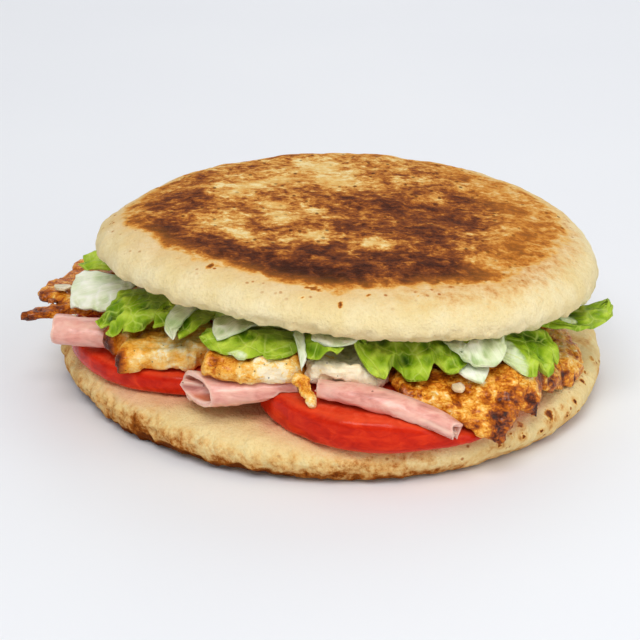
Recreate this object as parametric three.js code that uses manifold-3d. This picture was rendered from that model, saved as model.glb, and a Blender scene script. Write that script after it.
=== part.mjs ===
// A filled arepa: a split, griddled corn cake with tomato, rolled ham, grilled chicken and lettuce in it.
// Millimetres, +Z up. The flat underside is at z = 0, the origin is below the middle of the filling, and
// the open front faces -Y. Pieces are laid one after another from the underside up. Each soft piece is
// draped over a height map of what lies below it, then trimmed clear of what it presses against.
import * as THREE from "three";
import { mergeVertices } from "three/addons/utils/BufferGeometryUtils.js";
import { ImprovedNoise } from "three/addons/math/ImprovedNoise.js";
import Module from "manifold-3d";

const wasm = await Module();
wasm.setup();

const TURN = Math.PI * 2;
const CLEARANCE = 0.35; // between pieces that touch
const SLACK = 0.3; // what a draped underside keeps beyond that
const SLIVER = { fine: 0.12, coarse: 0.25 }; // smallest detail that a trim leaves behind

// ---------------------------------------------------------------- driving dimensions

// Lobes are [how many round the outline, share of the radius, degrees to the first].
const BOTTOM = {
  x: 0.5,
  y: 4,
  radius: 71.6,
  thickness: 12.3,
  fall: 0.024, // how much thinner it gets for each millimetre towards the front
  lobes: [[2, 0.014, -15], [3, 0.036, 40], [4, 0.012, -35]],
};
const TOP = {
  x: 4,
  y: 2.4,
  radius: 65.4,
  thickness: 14.8,
  underside: 31.7,
  roll: 2.8,
  pitch: -1,
  lobes: [[2, 0.013, 70], [3, 0.026, 79]],
  lift: { turn: 229, spread: 50, height: 4 }, // the cut edge curls up here
  dent: { turn: 163, spread: 20, height: -2.6 }, // the shoulder is low here
};
const TOMATO = { thickness: 7, bend: 0.12, ceiling: 13.2 };
const HAM = { thickness: 1.4, gap: 0.45 };
const CHICKEN = { thickness: 5.4, bend: 0.6, ragged: 0.8, segments: 30 };
const LEAF = { thickness: 0.8 };
const BED = { x: 3, y: 5, radius: 49, shreds: 10, reach: 12 };

const COLOURS = {
  bread: 0xe9d9ae,
  tomato: 0xc8260f,
  ham: 0xdc9c92,
  chicken: 0xc97a2c,
  crisp: 0x9a4d1c,
  lettuce: 0x6f9b24,
  rib: 0xd5dcc0,
};

// A slice is cut thinner by `share` at a `taper`.
const TOMATOES = {
  tomato_front: {
    x: 14.3,
    y: -36.4,
    radius: 34.5,
    lobes: [[2, 0.025, 57], [3, 0.012, 100]],
    thickness: 8.4,
    taper: { turn: -55, spread: 22, share: 0.72 },
  },
  tomato_left: { x: -36.4, y: -7.5, radius: 33.2, lobes: [[2, 0.06, -54]], thickness: 5.6 },
  tomato_back: { x: 14.5, y: 33.5, radius: 31.2, lobes: [[2, 0.02, 15], [5, 0.01, 10]] },
};

// Radii are at the first end, halfway and at the last end, and mouths how far the near side is cut back.
const HAM_ROLLS = {
  ham_roll_left: {
    path: [[-72, -20.5, 22.3], [-67, -22, 22.1], [-62, -23.2, 21.9], [-57, -23.6, 21.7]],
    radii: [5.6, 5.7, 5.8],
    flat: 0.72,
    turns: 1.4,
    start: 290,
    mouths: [0.1, 0],
  },
  ham_roll_middle: {
    path: [[-38.5, -50.5, 18.6], [-27, -52.3, 18.4], [-17, -53.5, 19.6], [-7.5, -54, 21.2]],
    radii: [5.8, 4.7, 3.6],
    flat: 0.8,
    turns: 1.25,
    start: 300,
    mouths: [0.3, 0.05],
  },
  ham_roll_right: {
    path: [[-5, -59.8, 22.2], [6, -63.3, 21.8], [17, -66.3, 19.8], [29.4, -69.1, 14.6]],
    radii: [3.4, 4.4, 3.5],
    flat: 0.76,
    turns: 1.25,
    start: 300,
    mouths: [0.03, 0],
    torn: 0.1,
  },
  ham_roll_back: {
    path: [[-24, 56, 23.8], [-8, 61, 24], [12, 62.5, 24], [28, 58, 23.8]],
    radii: [4.8, 4.9, 5],
    flat: 0.82,
    turns: 1.3,
    start: 290,
    mouths: [0.05, 0.1],
  },
};

// Outlines run anticlockwise. A base never rises above its ceiling or drops below its rest.
const FILLETS = {
  chicken_left: {
    outline: [
      [-57.5, -24], [-57.6, -31.5], [-51, -28], [-54.4, -38.6], [-49.5, -37.6], [-43, -39],
      [-35, -39], [-30, -36], [-28.5, -30], [-30, -20], [-38, -13], [-46, -18], [-53, -21],
    ],
    ceiling: 21,
    bend: 0.3,
    thickness: 5.5,
    segments: 33,
  },
  chicken_middle: {
    outline: [
      [-31.5, -54], [-22, -57.5], [-10, -57], [-6, -50], [-8, -36], [-17, -30], [-26, -34], [-31, -44],
    ],
    ceiling: 22.2,
    bend: 0.3,
  },
  chicken_white: {
    outline: [[-7, -56], [1, -59.5], [10, -58], [13, -50], [11, -39], [2, -34], [-5, -40]],
    ceiling: 22.4,
    bend: 0.35,
    ragged: 0.5,
  },
  chicken_right: {
    outline: [
      [13, -56], [18, -61], [28, -64], [36, -65], [41.4, -62.2], [43.4, -56.6], [49, -55.8], [51, -47],
      [55.3, -38.5], [61.5, -28.5], [63, -14], [59, 3], [46, 6], [30, -2], [17, -18], [13, -38],
    ],
    ceiling: 20.5,
    bend: 1.15,
    thickness: 4.3,
    ragged: 1.9,
    segments: 40,
  },
  chicken_crisp: {
    outline: [
      [-48, 18], [-56, 28], [-64, 31], [-69.5, 28], [-70.7, 24], [-70.5, 19.5], [-74.6, 12.5],
      [-76.8, 9.5], [-77.8, 3], [-77.2, -0.8], [-74.8, 0.6], [-71.9, -2.6], [-75.6, -8], [-78.8, -8.8],
      [-81, -14], [-75, -13], [-69.5, -9.6], [-60, -9.5], [-49, -9],
    ],
    bend: 0.2,
    rest: 21.2,
    thickness: 2.4,
    ragged: 0.5,
    segments: 48,
  },
  chicken_back: {
    outline: [
      [52, 24], [56, 35], [42, 48], [24, 50.5], [0, 52], [-22, 50], [-40, 46], [-46, 36], [-29, 22],
      [0, 17], [28, 19],
    ],
    ceiling: 20.5,
    ragged: 1.6,
    segments: 24,
  },
};

// A torn sliver of chicken that hangs between the two front rolls, as a leaf is described below.
const SHRED = {
  path: [[-8.6, -58.6, 25.6], [-7, -61.6, 23.6], [-5.9, -63, 21.4], [-4.9, -63.4, 18.4]],
  widths: [3.4, 3.8, 2],
};

// Lettuce from the lowest piece up, where a rib is a pale strip of the leaf's stem. Paths run from the held
// end to the free edge. Widths are at the held end, halfway and at the free edge.
const LETTUCE = {
  rib_left: {
    path: [[-57.5, -3.5, 30.6], [-59.4, -8, 30.1], [-61, -12, 28.4], [-62, -16, 25.6]],
    widths: [18, 16, 12],
    ruffle: 0.6,
    waves: 3,
    round: 0,
  },
  rib_scrap: { path: [[-69.6, 0, 25.4], [-71.6, 1.8, 25.3], [-73.6, 4, 25]], widths: [3, 4.4, 3] },
  leaf_far_left: {
    path: [[-47, 9, 30.5], [-58, 9.5, 30.8], [-68, 11, 28.2]],
    widths: [14, 18, 14],
    ruffle: 1.2,
    lobes: 2,
    scallop: 0.25,
  },
  leaf_left: {
    path: [[-41.2, -17.5, 30.5], [-46.8, -22.5, 32], [-52.8, -28.3, 30], [-56.2, -33, 24.6]],
    widths: [14, 18, 14],
    ruffle: 1.3,
    waves: 3,
    cup: -0.15,
    lobes: 3,
    scallop: 0.16,
  },
  leaf_left_small: { path: [[-37, -26, 31], [-41, -31, 30.8], [-45, -35.5, 28.2]], widths: [5, 7, 4] },
  leaf_centre_small: { path: [[-32, -31, 31], [-35.5, -37, 31], [-38, -43, 28]], widths: [6, 8, 4] },
  leaf_centre: {
    path: [[-18.5, -41, 30.5], [-19.5, -46, 32], [-20.5, -52, 31], [-21.5, -57, 27.6]],
    widths: [22, 27, 22],
    ruffle: 1.3,
    waves: 2.5,
    cup: -0.1,
    lobes: 3,
    scallop: 0.1,
  },
  rib_under_edge: { path: [[2, -46, 33], [0, -54, 34], [-1, -59.5, 33]], widths: [11, 12, 11] },
  leaf_centre_right: {
    path: [[0, -44.5, 30.5], [-1, -49, 31.6], [-1.5, -55, 31], [-1, -60, 28]],
    widths: [15, 18, 11],
    ruffle: 1.1,
    cup: -0.1,
  },
  rib_chip: { path: [[28.9, -57, 22.5], [29.6, -58.8, 22.3], [30.3, -60.4, 21.8]], widths: [2.4, 3.4, 2.6] },
  rib_right_small: { path: [[29, -47, 28], [33, -54, 25.6], [35.5, -57.5, 22.8]], widths: [8, 10, 8] },
  leaf_frilled: {
    path: [[17.8, -42.5, 30], [17.8, -48, 31], [18.6, -54, 29], [19.5, -60, 23.6]],
    widths: [16.5, 24, 30],
    ruffle: 1.7,
    waves: 3,
    lobes: 3,
    scallop: 0.28,
  },
  leaf_right: {
    path: [[36, -33, 29], [41, -37, 29], [48, -42.5, 26], [53.5, -46.5, 20.4]],
    widths: [15, 21, 19],
    ruffle: 1.2,
    waves: 3,
    cup: -0.1,
    lobes: 3,
    scallop: 0.16,
  },
  rib_right: { path: [[30, -41, 31], [34.5, -50, 30.6], [37.5, -56.5, 26.4]], widths: [12, 16, 12] },
  leaf_tip_right: {
    path: [[44, -25, 29.5], [54, -24.2, 28.4], [63, -21.2, 25.9], [71, -12.7, 27.4]],
    widths: [15, 17, 0.6],
    ruffle: 1,
    cup: -0.15,
    round: 0,
  },
  rib_centre_left: {
    path: [[-35, -28, 31.5], [-38, -34, 32.6], [-40.5, -40, 30.6], [-39.5, -43, 27.8]],
    widths: [5, 6.5, 3.5],
    cup: -0.25,
  },
  rib_centre: { path: [[-22, -39, 32], [-25.2, -45, 33.4], [-28.6, -51.4, 31]], widths: [11, 11, 5.5] },
  rib_shred: {
    path: [[-9, -44, 33], [-8.6, -53, 33], [-7.6, -58, 30], [-8.2, -59.8, 26.6]],
    widths: [2.4, 2.6, 1.6],
  },
  leaf_side_right: {
    path: [[50, 19, 29], [56, 21, 28.6], [65, 25, 25.5]],
    widths: [18, 22, 18],
    ruffle: 1.4,
    waves: 3,
    lobes: 3,
    scallop: 0.22,
  },
  leaf_back_right: {
    path: [[32, 46, 29.6], [36, 53, 29.8], [42, 62, 25]],
    widths: [20, 26, 24],
    ruffle: 1.5,
    waves: 3,
    lobes: 3,
    scallop: 0.25,
  },
  leaf_back: {
    path: [[-3, 54, 29.8], [-4, 60, 30.4], [-6, 70, 25.4]],
    widths: [20, 28, 26],
    ruffle: 1.5,
    waves: 3,
    lobes: 3,
    scallop: 0.22,
  },
  leaf_back_left: {
    path: [[-36, 37, 30.6], [-43, 46, 31], [-51, 56, 25.6]],
    widths: [18, 24, 20],
    ruffle: 1.4,
    waves: 3,
    lobes: 2,
    scallop: 0.22,
  },
};

// ---------------------------------------------------------------- outlines and shapes

const perlin = new ImprovedNoise();

/** Smooth noise from -1 to 1 whose lumps are about `size` millimetres apart. */
function lumps(x, y, z, size) {
  return perlin.noise(x / size + 11.3, y / size + 5.7, z / size + 2.1);
}

/** How much of a local swelling reaches a direction, from 1 in its middle to 0. */
function near({ turn, spread }, degrees) {
  const away = THREE.MathUtils.euclideanModulo(degrees - turn + 180, 360) - 180;
  return Math.exp(-((away / spread) ** 2));
}

/** A lobed round outline, as its middle and the way from there to its edge at a share t of the turn. */
function roundOutline({ x, y, radius, lobes }) {
  return {
    middle: new THREE.Vector2(x, y),
    edge(t) {
      const swell = ([count, share, first]) => share * Math.cos((count * TURN * (t * 360 - first)) / 360);
      const reach = lobes.reduce((sum, lobe) => sum + swell(lobe), 1) * radius;
      return new THREE.Vector2(Math.cos(t * TURN), Math.sin(t * TURN)).multiplyScalar(reach);
    },
  };
}

/** A closed smooth outline through a few points, with torn teeth `ragged` millimetres deep. */
function tornOutline(points, ragged) {
  const corners = points.map(([x, y]) => new THREE.Vector3(x, y, 0));
  const curve = new THREE.CatmullRomCurve3(corners, true, "centripetal");
  const middle = new THREE.Vector2();
  for (const [x, y] of points) middle.add(new THREE.Vector2(x, y).divideScalar(points.length));
  return {
    middle,
    edge(t) {
      const p = curve.getPointAt(t % 1);
      const out = new THREE.Vector2(p.x, p.y).sub(middle);
      const tear = lumps(p.x, p.y, 0, 3.7) + 0.7 * lumps(p.x, p.y, 40, 8);
      return out.setLength(out.length() + ragged * tear);
    },
  };
}

/**
 * A closed flat piece. `profile` lists [share of the outline, share of the thickness] from the middle of the
 * underside round the rim to the middle of the top; `base` and `thickness` are functions of (x, y, out, t).
 */
function puck({ outline, profile, segments, base, thickness }) {
  const points = profile.map(([out, up]) => new THREE.Vector2(out, up));
  const geometry = bare(new THREE.LatheGeometry(points, segments).rotateX(Math.PI / 2));
  const position = geometry.getAttribute("position");
  for (let i = 0; i < position.count; i++) {
    const out = Math.hypot(position.getX(i), position.getY(i));
    const t = THREE.MathUtils.euclideanModulo(Math.atan2(position.getY(i), position.getX(i)) / TURN, 1);
    const { x, y } = outline.edge(t).multiplyScalar(out).add(outline.middle);
    position.setXYZ(i, x, y, base(x, y, out, t) + position.getZ(i) * thickness(x, y, out, t));
  }
  return geometry;
}

/** A thin sheet over a middle surface mid(u, v), with both faces split alike and its edge closed. */
function sheet({ mid, along, across, thickness }) {
  const rows = along + 1;
  const columns = across + 1;
  const count = rows * columns;
  const at = (i, j) => Math.min(Math.max(i, 0), along) * columns + Math.min(Math.max(j, 0), across);
  const place = (k) => mid(Math.floor(k / columns) / along, (k % columns) / across);
  const points = Array.from({ length: count }, (_, k) => place(k));
  const vertices = new Float32Array(count * 6);
  points.forEach((point, k) => {
    const [i, j] = [Math.floor(k / columns), k % columns];
    const forward = points[at(i + 1, j)].clone().sub(points[at(i - 1, j)]);
    const sideways = points[at(i, j + 1)].clone().sub(points[at(i, j - 1)]);
    const half = forward.cross(sideways).setLength(thickness / 2);
    point.clone().add(half).toArray(vertices, k * 3);
    point.clone().sub(half).toArray(vertices, (k + count) * 3);
  });
  const index = [];
  const quad = (a, b, c, d) => index.push(a, b, c, a, c, d);
  for (let i = 0; i < along; i++) {
    for (let j = 0; j < across; j++) {
      const [a, b, c, d] = [at(i, j), at(i + 1, j), at(i + 1, j + 1), at(i, j + 1)];
      quad(a, b, c, d);
      index.push(a + count, c + count, b + count, a + count, d + count, c + count);
    }
  }
  const border = [];
  for (let i = 0; i < along; i++) border.push(at(i, 0));
  for (let j = 0; j < across; j++) border.push(at(along, j));
  for (let i = along; i > 0; i--) border.push(at(i, across));
  for (let j = across; j > 0; j--) border.push(at(0, j));
  border.forEach((a, k) => {
    const b = border[(k + 1) % border.length];
    quad(a, a + count, b + count, b);
  });
  return indexed(vertices, index);
}

/** Place, level side vector and upright normal of a path at a share u of its length. */
function pathFrame(curve, u) {
  const share = THREE.MathUtils.clamp(u, 0, 1);
  const tangent = curve.getTangentAt(share);
  const side = new THREE.Vector3(0, 0, 1).cross(tangent).normalize();
  return { at: curve.getPointAt(share), side, normal: tangent.cross(side) };
}

/** The quadratic through a value at 0, at a half and at 1. */
function through([first, half, last], u) {
  return first * (1 - u) * (1 - 2 * u) + half * 4 * u * (1 - u) + last * u * (2 * u - 1);
}

/**
 * A leaf or a strip of rib: `lobes` and `scallop` notch its free edge, `ruffle` is the height of the waves
 * along its border, `cup` bends it across, and `settle` keeps its middle surface between other pieces.
 */
function leaf({ path, widths, lobes = 1, scallop = 0, ruffle = 0, waves = 2, cup = 0, round = 0.2, settle }) {
  const curve = new THREE.CatmullRomCurve3(path.map((p) => new THREE.Vector3(...p)));
  const widest = Math.max(...widths);
  const mid = (u, share) => {
    const v = share * 2 - 1;
    const notch = scallop * (1 - Math.sqrt(Math.abs(Math.sin(lobes * Math.PI * share))));
    const { at, side, normal } = pathFrame(curve, u * (1 - round * v * v - notch));
    const half = through(widths, u) / 2;
    const border = Math.max(u * u, Math.abs(v) ** 3 * u);
    const wave = ruffle * border * Math.sin(waves * Math.PI * (v + u) + widest);
    at.addScaledVector(side, v * half).addScaledVector(normal, wave + cup * v * v * half);
    return settle ? settle(at) : at;
  };
  return sheet({
    mid,
    along: path.length > 3 ? 5 : 3,
    across: lobes * Math.max(2, Math.round(widest / lobes / (ruffle ? 2.3 : 4.5))),
    thickness: LEAF.thickness,
  });
}

/** A slice of ham wound round a path, flattened to `flat` of its width. */
function hamRoll({ path, radii, flat, turns, start, mouths, torn = 0 }) {
  const curve = new THREE.CatmullRomCurve3(path.map((p) => new THREE.Vector3(...p)));
  const pitch = HAM.thickness / flat + HAM.gap;
  const mid = (u, wound) => {
    const angle = THREE.MathUtils.degToRad(start) + wound * turns * TURN;
    const nearSide = 0.5 - 0.5 * Math.cos(angle);
    const first = mouths[0] * nearSide;
    const last = 1 - mouths[1] * nearSide - torn * Math.abs(lumps(wound * 30, 0, 7, 5));
    const { at, side, normal } = pathFrame(curve, first + (last - first) * u);
    const crease = 1 + 0.07 * lumps(at.x, at.y, angle * 3, 7);
    const radius = (through(radii, u) - pitch * turns * wound) * crease;
    at.addScaledVector(side, Math.cos(angle) * radius);
    return at.addScaledVector(normal, Math.sin(angle) * radius * flat);
  };
  return sheet({ mid, along: 4, across: Math.round(turns * 11), thickness: HAM.thickness });
}

// ---------------------------------------------------------------- solids and their clearances

/** A geometry from plain lists of coordinates and of triangle corners. */
function indexed(coordinates, corners) {
  return new THREE.BufferGeometry()
    .setAttribute("position", new THREE.BufferAttribute(new Float32Array(coordinates), 3))
    .setIndex(new THREE.BufferAttribute(new Uint32Array(corners), 1));
}

/** The geometry with its position alone and its shared vertices merged. */
function bare(geometry) {
  const plain = geometry.clone();
  plain.deleteAttribute("normal");
  plain.deleteAttribute("uv");
  return mergeVertices(plain, 1e-3);
}

/** Moves each vertex along its normal by what `amount` gives for its place. */
function swollen(geometry, amount) {
  const moved = geometry.clone();
  moved.computeVertexNormals();
  const position = moved.getAttribute("position");
  const normal = moved.getAttribute("normal");
  for (let i = 0; i < position.count; i++) {
    const p = new THREE.Vector3().fromBufferAttribute(position, i);
    p.addScaledVector(new THREE.Vector3().fromBufferAttribute(normal, i), amount(p));
    position.setXYZ(i, p.x, p.y, p.z);
  }
  moved.deleteAttribute("normal");
  return moved;
}

function solidOf(geometry) {
  const { index, attributes } = bare(geometry);
  return new wasm.Manifold(
    new wasm.Mesh({
      numProp: 3,
      vertProperties: new Float32Array(attributes.position.array),
      triVerts: new Uint32Array(index.array),
    }),
  );
}

function geometryOf(solid) {
  const { vertProperties, triVerts } = solid.getMesh();
  return indexed(vertProperties, triVerts);
}

/** The largest body of a solid, so that a trim leaves no loose scrap. */
function largest(solid) {
  return solid.decompose().reduce((best, body) => (body.volume() > best.volume() ? body : best));
}

// ---------------------------------------------------------------- the height map

/** Highest point over each cell of the table, to lay the next piece on. */
class HeightMap {
  extent = 96;
  cell = 1.5;
  side = Math.round((this.extent * 2) / this.cell) + 1;
  heights = new Float32Array(this.side * this.side);

  /** Raises the map to the faces of a geometry that look up. */
  stamp(geometry) {
    const position = geometry.getAttribute("position");
    const corner = (k) => new THREE.Vector3().fromBufferAttribute(position, k);
    const corners = Array.from(geometry.index.array, corner);
    const cellOf = (v) => (v + this.extent) / this.cell;
    for (let k = 0; k < corners.length; k += 3) {
      const face = new THREE.Triangle(corners[k], corners[k + 1], corners[k + 2]);
      if (face.getNormal(new THREE.Vector3()).z < 0.01) continue;
      const box = new THREE.Box3().setFromPoints([face.a, face.b, face.c]);
      for (let i = Math.ceil(cellOf(box.min.x)); i <= cellOf(box.max.x); i++) {
        for (let j = Math.ceil(cellOf(box.min.y)); j <= cellOf(box.max.y); j++) {
          const z = heightInFace(face, i * this.cell - this.extent, j * this.cell - this.extent);
          this.heights[j * this.side + i] = Math.max(this.heights[j * this.side + i], z);
        }
      }
    }
  }

  /** A function for the lowest surface over what lies inside an outline that falls no faster than `slope`. */
  draped({ slope, outline, ceiling = Infinity }) {
    const heights = this.heights.map((z, n) => {
      const x = (n % this.side) * this.cell - this.extent;
      const y = Math.floor(n / this.side) * this.cell - this.extent;
      return !outline || covers(outline, x, y) ? Math.min(z, ceiling) : -this.extent;
    });
    this.spread(heights, slope, 1);
    this.spread(heights, slope, -1);
    const soft = this.blurred(this.blurred(heights)).map((z, n) => Math.max(z, heights[n]));
    return (x, y) => this.read(soft, x, y);
  }

  /** One pass of the drape over the cells, forwards or backwards. */
  spread(heights, slope, direction) {
    const { side, cell } = this;
    const last = side * side - 1;
    const fall = slope * cell;
    const around = [[side, 1], [1, 1], [side + 1, Math.SQRT2], [side - 1, Math.SQRT2]];
    for (let n = 0; n <= last; n++) {
      const k = direction > 0 ? n : last - n;
      for (const [step, far] of around) {
        const from = k - step * direction;
        if (from >= 0 && from <= last) heights[k] = Math.max(heights[k], heights[from] - fall * far);
      }
    }
  }

  /** Each cell as the mean of itself and its eight neighbours. */
  blurred(heights) {
    const { side } = this;
    const around = [-side - 1, -side, -side + 1, -1, 0, 1, side - 1, side, side + 1];
    return heights.map((z, n) => {
      if (n < side + 1 || n > side * side - side - 2) return z;
      return around.reduce((sum, step) => sum + heights[n + step] / around.length, 0);
    });
  }

  /** The height at a place between cells. */
  read(heights, x, y) {
    const gx = THREE.MathUtils.clamp((x + this.extent) / this.cell, 0, this.side - 1.001);
    const gy = THREE.MathUtils.clamp((y + this.extent) / this.cell, 0, this.side - 1.001);
    const k = Math.floor(gy) * this.side + Math.floor(gx);
    const lower = THREE.MathUtils.lerp(heights[k], heights[k + 1], gx % 1);
    const upper = THREE.MathUtils.lerp(heights[k + this.side], heights[k + this.side + 1], gx % 1);
    return THREE.MathUtils.lerp(lower, upper, gy % 1);
  }
}

/** Height of a triangle at x, y, or a low one where it doesn't cover that place. */
function heightInFace({ a, b, c }, x, y) {
  const area = (b.x - a.x) * (c.y - a.y) - (c.x - a.x) * (b.y - a.y);
  const towardsB = ((x - a.x) * (c.y - a.y) - (c.x - a.x) * (y - a.y)) / area;
  const towardsC = ((b.x - a.x) * (y - a.y) - (x - a.x) * (b.y - a.y)) / area;
  const inside = towardsB >= 0 && towardsC >= 0 && towardsB + towardsC <= 1;
  return inside ? a.z + towardsB * (b.z - a.z) + towardsC * (c.z - a.z) : -Infinity;
}

/** Whether an outline covers a place, by the crossings of its edge. */
function covers(outline, x, y) {
  outline.corners ??= Array.from({ length: 48 }, (_, k) => outline.edge(k / 48).add(outline.middle));
  const { corners } = outline;
  return corners.reduce((inside, a, k) => {
    const b = corners[(k + 1) % corners.length];
    const crosses = a.y > y !== b.y > y && x < a.x + ((y - a.y) / (b.y - a.y)) * (b.x - a.x);
    return crosses ? !inside : inside;
  }, false);
}

const table = new HeightMap();
const laid = [];
const arepa = new THREE.Group();

/** Trims a piece clear of what is laid, adds it to the group as a named mesh and returns its shape. */
function lay(name, geometry, colour, roughness, sliver = SLIVER.coarse) {
  const trimmed = laid.reduce((solid, other) => solid.subtract(other), solidOf(geometry));
  const shape = geometryOf(largest(solidOf(geometryOf(trimmed.simplify(sliver)))));
  laid.push(solidOf(swollen(shape, () => CLEARANCE)).add(solidOf(shape)));
  const material = new THREE.MeshStandardMaterial({ color: colour, roughness, metalness: 0 });
  const mesh = new THREE.Mesh(shape, material);
  mesh.name = name;
  arepa.add(mesh);
  return shape;
}

// ---------------------------------------------------------------- the two halves of the corn cake

/** The lower half: a flat foot, a full round side and a soft edge at the cut face. */
function bottomHalf() {
  const side = [[0.914, 0], [0.962, 0.16], [0.991, 0.38], [0.998, 0.64], [0.955, 0.88], [0.88, 0.975]];
  const geometry = puck({
    outline: roundOutline(BOTTOM),
    profile: [[0, 0], ...side, [0.7, 1], [0.36, 0.99], [0, 0.985]],
    segments: 60,
    base: () => 0,
    thickness: (x, y) => BOTTOM.thickness + BOTTOM.fall * y + 0.5 * lumps(x, y, 3, 21),
  });
  return swollen(geometry, (p) => (p.z < 0.01 ? 0 : 0.4 * lumps(p.x, p.y, p.z, 9)));
}

/** The upper half: griddled flat on top, with a broad shoulder, a full side and a thin edge at the cut. */
function topHalf() {
  const side = [[0.953, 0.05], [0.991, 0.19], [1, 0.344], [0.983, 0.56], [0.93, 0.75], [0.846, 0.888]];
  const change = (local, start) => (out, t) =>
    local.height * near(local, t * 360) * THREE.MathUtils.smoothstep(out, start, 0.9);
  const rise = change(TOP.lift, 0.6);
  const shoulder = change(TOP.dent, 0.7);
  const geometry = puck({
    outline: roundOutline({ ...TOP, x: 0, y: 0 }),
    profile: [[0, 0], [0.6, 0], [0.884, 0], ...side, [0.66, 0.955], [0.34, 0.99], [0, 1]],
    segments: 60,
    base: (x, y, out, t) => rise(out, t),
    thickness: (x, y, out, t) => TOP.thickness + shoulder(out, t) - rise(out, t) + 0.4 * lumps(x, y, 9, 26),
  });
  return swollen(geometry, (p) => 0.42 * lumps(p.x, p.y, p.z, 9))
    .rotateY(THREE.MathUtils.degToRad(TOP.roll))
    .rotateX(THREE.MathUtils.degToRad(TOP.pitch))
    .translate(TOP.x, TOP.y, TOP.underside);
}

/** Height of the upper half's underside over a place: flat, rising towards its rim. */
function roof(x, y) {
  const fromMiddle = Math.hypot(x - TOP.x, y - TOP.y);
  const degrees = THREE.MathUtils.radToDeg(Math.atan2(y - TOP.y, x - TOP.x));
  const tilt = Math.tan(THREE.MathUtils.degToRad(TOP.roll)) * (TOP.x - x);
  const slant = Math.tan(THREE.MathUtils.degToRad(TOP.pitch)) * (y - TOP.y);
  const outward = THREE.MathUtils.smoothstep(fromMiddle / TOP.radius, 0.6, 0.9);
  const lift = TOP.lift.height * near(TOP.lift, degrees) * outward;
  const rim = 0.075 * Math.max(0, fromMiddle - 58.5) ** 2;
  return TOP.underside + tilt + slant + lift + rim;
}

// ---------------------------------------------------------------- fillings

/** A tomato slice: a lobed round with a full skin side, bent a little over what it lies on. */
function tomatoSlice(shape) {
  const outline = roundOutline(shape);
  const under = table.draped({ slope: TOMATO.bend, outline, ceiling: TOMATO.ceiling });
  const skin = [[0.94, 0], [0.985, 0.09], [1, 0.42], [0.994, 0.86], [0.972, 1]];
  const { thickness = TOMATO.thickness, taper = { turn: 0, spread: 1, share: 0 } } = shape;
  const thin = (out, t) => taper.share * near(taper, t * 360) * THREE.MathUtils.smoothstep(out, 0.5, 1);
  return puck({
    outline,
    profile: [[0, 0], [0.5, 0], ...skin, [0.5, 1], [0, 1]],
    segments: 32,
    base: (x, y) => under(x, y) + CLEARANCE + SLACK,
    thickness: (x, y, out, t) => thickness * (1 - thin(out, t)),
  });
}

/** A piece of grilled chicken, draped over what it lies on, with a torn edge and a lumpy crust. */
function fillet(shape) {
  const { bend, thickness, ragged, segments, ceiling, rest = 0 } = { ...CHICKEN, ...shape };
  const outline = tornOutline(shape.outline, ragged);
  const under = table.draped({ slope: bend, outline, ceiling });
  const rim = [[0.88, 0.03], [0.985, 0.22], [1, 0.55], [0.96, 0.88], [0.85, 1.02]];
  const slab = puck({
    outline,
    profile: [[0, 0], [0.5, 0], ...rim, [0.58, 0.96], [0.3, 1.02], [0, 1]],
    segments,
    base: (x, y) => Math.max(rest, under(x, y) + CLEARANCE + SLACK),
    thickness: (x, y) => thickness * (1 + 0.2 * lumps(x, y, 5, 13) + 0.12 * lumps(x, y, 50, 5)),
  });
  return swollen(slab, (p) => 0.45 * lumps(p.x, p.y, p.z * 2, 4.2));
}

/** Shredded lettuce that fills the middle up to the upper half, with loose shreds round its back. */
function lettuceBed() {
  const outline = roundOutline({ ...BED, lobes: [[5, 0.03, 30], [8, 0.02, 0]] });
  const under = table.draped({ slope: 0.9, outline });
  const floor = (x, y) => under(x, y) + CLEARANCE + 4 * SLACK;
  const core = puck({
    outline,
    profile: [[0, 0], [0.5, 0], [0.85, 0.02], [0.98, 0.3], [0.97, 0.9], [0.6, 1], [0, 1]],
    segments: 22,
    base: floor,
    thickness: (x, y) => Math.max(1.5, roof(x, y) - 1 - floor(x, y)),
  });
  let bed = solidOf(core);
  for (let n = 0; n < BED.shreds; n++) {
    const turn = Math.PI * (-0.06 + (1.16 * n) / BED.shreds); // round the back, from side to side
    const swing = lumps(n * 3.1, 4, 9, 2);
    const place = (radius, drop, shift) => {
      const x = BED.x + radius * Math.cos(turn + shift);
      const y = BED.y + radius * Math.sin(turn + shift);
      return [x, y, roof(x, y) - 2.2 - drop];
    };
    const tip = BED.radius + BED.reach + 5 * swing;
    const path = [
      place(BED.radius - 4, 0, 0),
      place(BED.radius + 4, 0.4, 0.02 * swing),
      place(tip, 4 + 2 * swing, 0.12 * swing),
    ];
    bed = bed.add(solidOf(leaf({ path, widths: [6, 7, 4], round: 0.3 })));
  }
  return geometryOf(bed);
}

/** Keeps a leaf's middle surface on what lies below it and under the upper half. */
function settled(under) {
  const room = CLEARANCE + SLACK + LEAF.thickness / 2;
  return (p) => p.setZ(Math.min(Math.max(p.z, under(p.x, p.y) + room), roof(p.x, p.y) - room));
}

// ---------------------------------------------------------------- assembly, from the underside up

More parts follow.
